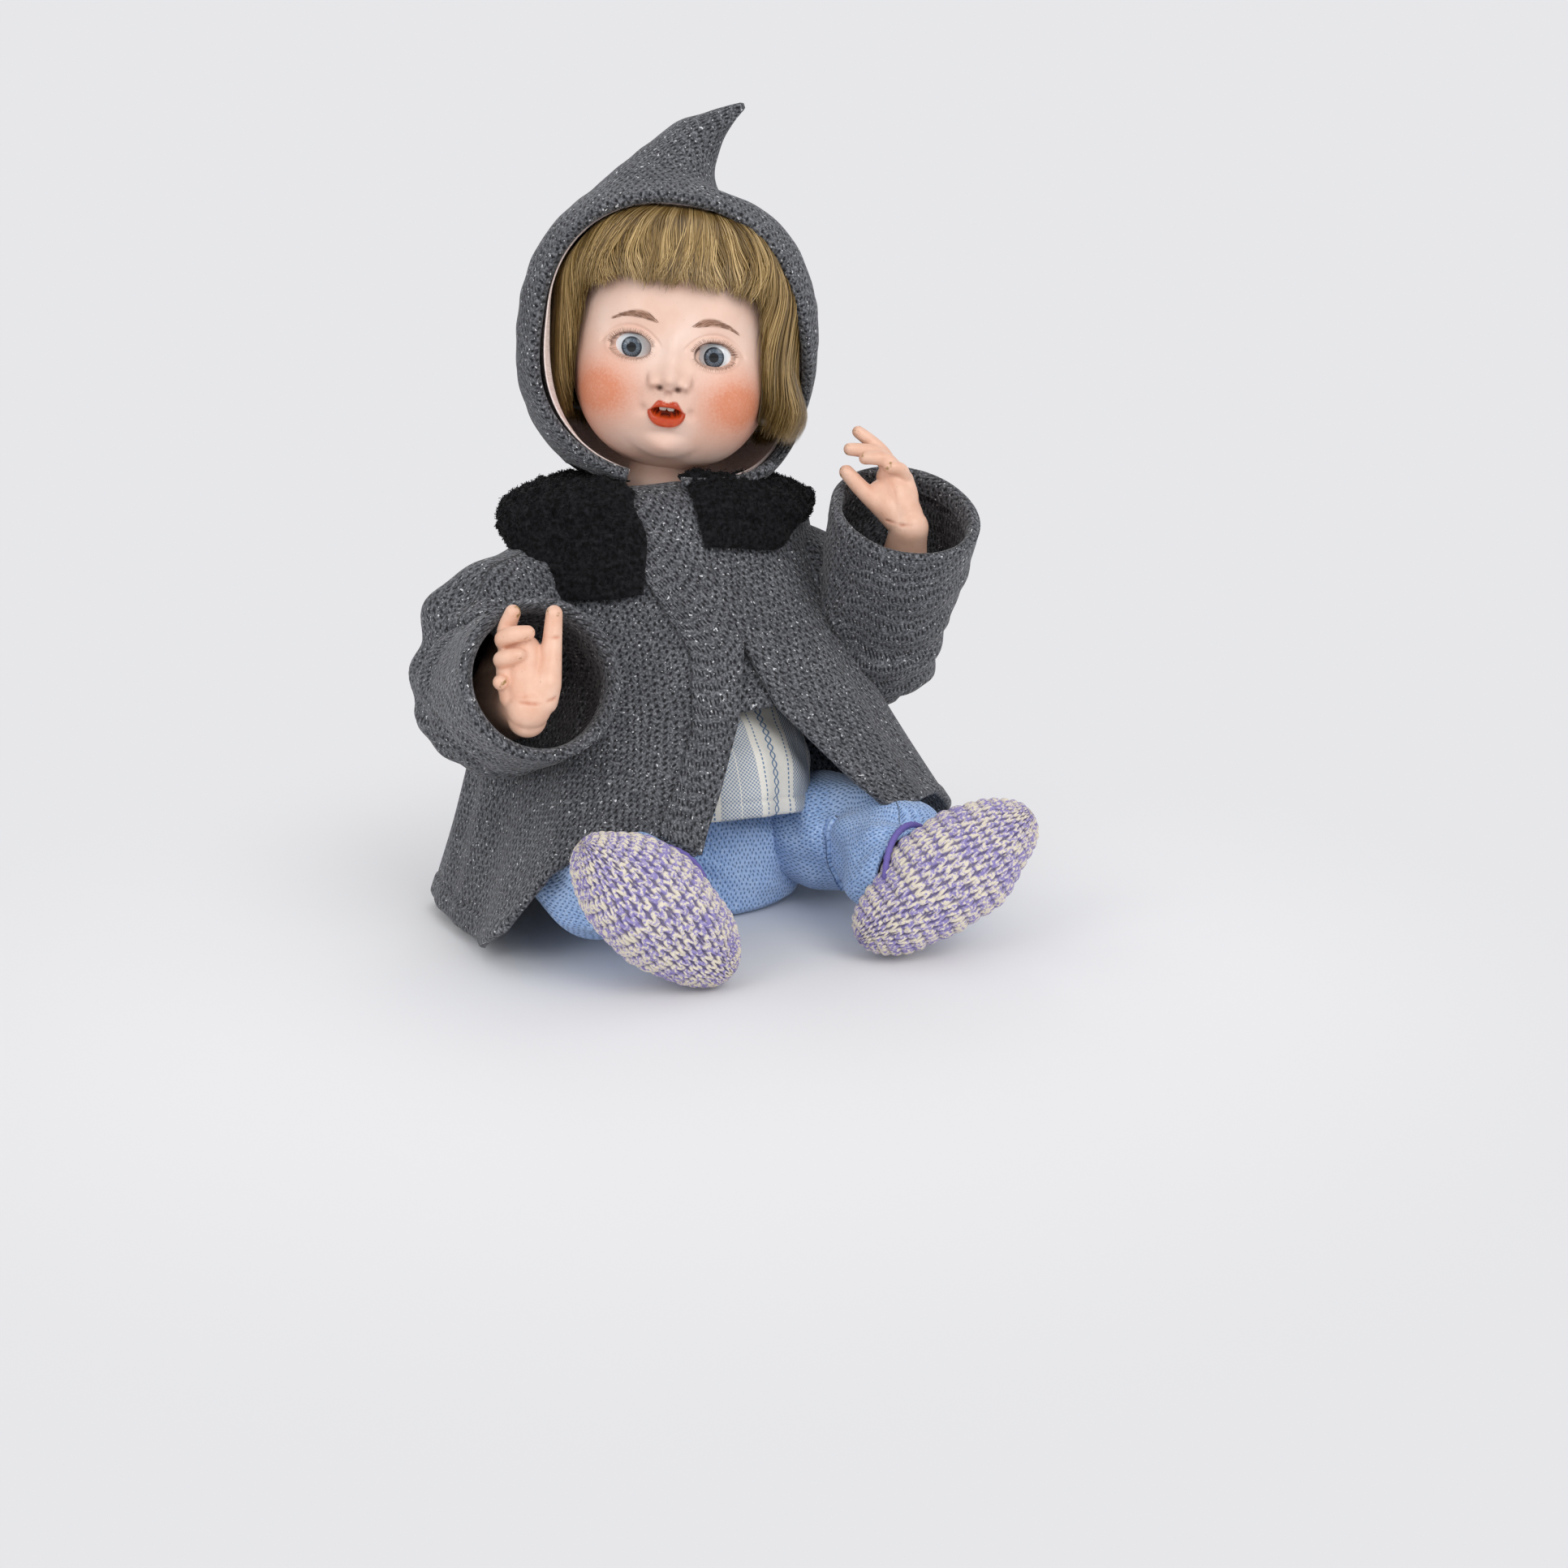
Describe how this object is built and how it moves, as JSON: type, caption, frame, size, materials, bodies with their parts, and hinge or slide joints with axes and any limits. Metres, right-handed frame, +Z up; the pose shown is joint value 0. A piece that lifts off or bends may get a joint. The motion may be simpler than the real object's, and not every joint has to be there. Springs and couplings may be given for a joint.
{
  "type": "bisque baby doll",
  "caption": "Seated bisque-headed baby doll with sleeping glass eyes, strung bent-limb composition body and a hooded wool coat, shirt, trousers and crocheted booties",
  "frame": {"origin": "on the flat underside of the trousers seat, below the hips", "axes": "+Z up along the sitting doll, -Y the way its body faces, +X towards its left"},
  "size_m": [0.3649, 0.354, 0.5305],
  "materials": {
    "bisque": "unglazed tinted bisque porcelain, painted face",
    "composition": "painted wood-pulp composition, worn",
    "glass_eye": "blown glass with painted iris",
    "plaster": "cast plaster of Paris",
    "lead": "dull cast lead",
    "wire": "bent iron wire",
    "cork": "cut cork",
    "wood": "turned beech",
    "elastic": "cotton-covered elastic",
    "pate": "pressed card",
    "wig": "straight ash-blond mohair on a cloth cap",
    "teeth": "moulded milk glass",
    "tongue": "painted plaster",
    "coat_knit": "grey flecked honeycomb wool",
    "lining": "pale pink cotton",
    "plush": "black curled plush",
    "shirt_cotton": "off-white linen with blue stitched stripes",
    "trouser_knit": "light blue lace knit",
    "bootie_yarn": "cream and violet crochet"
  },
  "bodies": {
    "torso": {"torso_front": "composition", "torso_back": "composition", "neck_elastic": "elastic", "arm_elastic": "elastic", "leg_elastic": "elastic", "shirt": "shirt_cotton", "trousers_seat": "trouser_knit", "coat_back": "coat_knit", "coat_front_left": "coat_knit", "coat_front_right": "coat_knit", "placket": "coat_knit", "collar_left": "plush", "collar_right": "plush"},
    "neck": {"neck_button": "wood", "neck_hook": "wire"},
    "head": {"head_shell": "bisque", "pate": "pate", "wig": "wig", "eye_pivot_left": "plaster", "eye_pivot_right": "plaster", "weight_stop": "cork", "teeth": "teeth", "tongue": "tongue", "hood": "coat_knit", "hood_lining": "lining"},
    "eyes": {"eye_left": "glass_eye", "eye_right": "glass_eye", "eye_rocker": "wire", "eye_weight": "lead"},
    "arm_left": {"arm_left": "composition", "arm_plug_left": "wood", "arm_hook_left": "wire", "sleeve_left": "coat_knit", "cuff_left": "coat_knit"},
    "leg_left": {"leg_left": "composition", "leg_plug_left": "wood", "leg_hook_left": "wire", "trouser_leg_left": "trouser_knit", "bootie_left": "bootie_yarn"},
    "arm_right": {"arm_right": "composition", "arm_plug_right": "wood", "arm_hook_right": "wire", "sleeve_right": "coat_knit", "cuff_right": "coat_knit"},
    "leg_right": {"leg_right": "composition", "leg_plug_right": "wood", "leg_hook_right": "wire", "trouser_leg_right": "trouser_knit", "bootie_right": "bootie_yarn"}
  },
  "joints": [
    {"name": "head_turn", "type": "hinge", "parent": "torso", "child": "neck", "pos_m": [0, 0.06119, 0.28003], "axis": [0, 0.225, 0.9744], "range_deg": [-35, 35], "deforming": ["hood", "hood_lining", "neck_elastic", "collar_left", "collar_right"]},
    {"name": "head_nod", "type": "hinge", "parent": "neck", "child": "head", "pos_m": [0, 0.06119, 0.28003], "axis": [0.9327, -0.3395, -0.1219], "range_deg": [-8, 8], "deforming": ["hood", "hood_lining", "collar_left", "collar_right"]},
    {"name": "eyes_rock", "type": "hinge", "parent": "head", "child": "eyes", "pos_m": [-0.00864, 0.00427, 0.37242], "axis": [0.9327, -0.3395, -0.1219], "range_deg": [0, 55]},
    {"name": "shoulder_left", "type": "hinge", "parent": "torso", "child": "arm_left", "pos_m": [0.066, 0.05039, 0.23326], "axis": [1, 0, 0], "range_deg": [-20, 75], "deforming": ["sleeve_left", "cuff_left", "shirt", "coat_back", "coat_front_left", "coat_front_right", "placket", "collar_left", "collar_right"]},
    {"name": "hip_left", "type": "hinge", "parent": "torso", "child": "leg_left", "pos_m": [0.052, 0.00765, 0.04813], "axis": [1, 0, 0], "range_deg": [-5, 75], "deforming": ["trouser_leg_left", "trousers_seat", "shirt", "coat_back", "coat_front_left", "coat_front_right", "placket", "collar_left", "collar_right"]},
    {"name": "shoulder_right", "type": "hinge", "parent": "torso", "child": "arm_right", "pos_m": [-0.066, 0.05039, 0.23326], "axis": [1, 0, 0], "range_deg": [-60, 45], "deforming": ["sleeve_right", "cuff_right", "shirt", "coat_back", "coat_front_left", "coat_front_right", "placket", "collar_left", "collar_right"]},
    {"name": "hip_right", "type": "hinge", "parent": "torso", "child": "leg_right", "pos_m": [-0.052, 0.00765, 0.04813], "axis": [1, 0, 0], "range_deg": [-5, 75], "deforming": ["trouser_leg_right", "trousers_seat", "shirt", "coat_back", "coat_front_left", "coat_front_right", "placket", "collar_left", "collar_right"]}
  ]
}
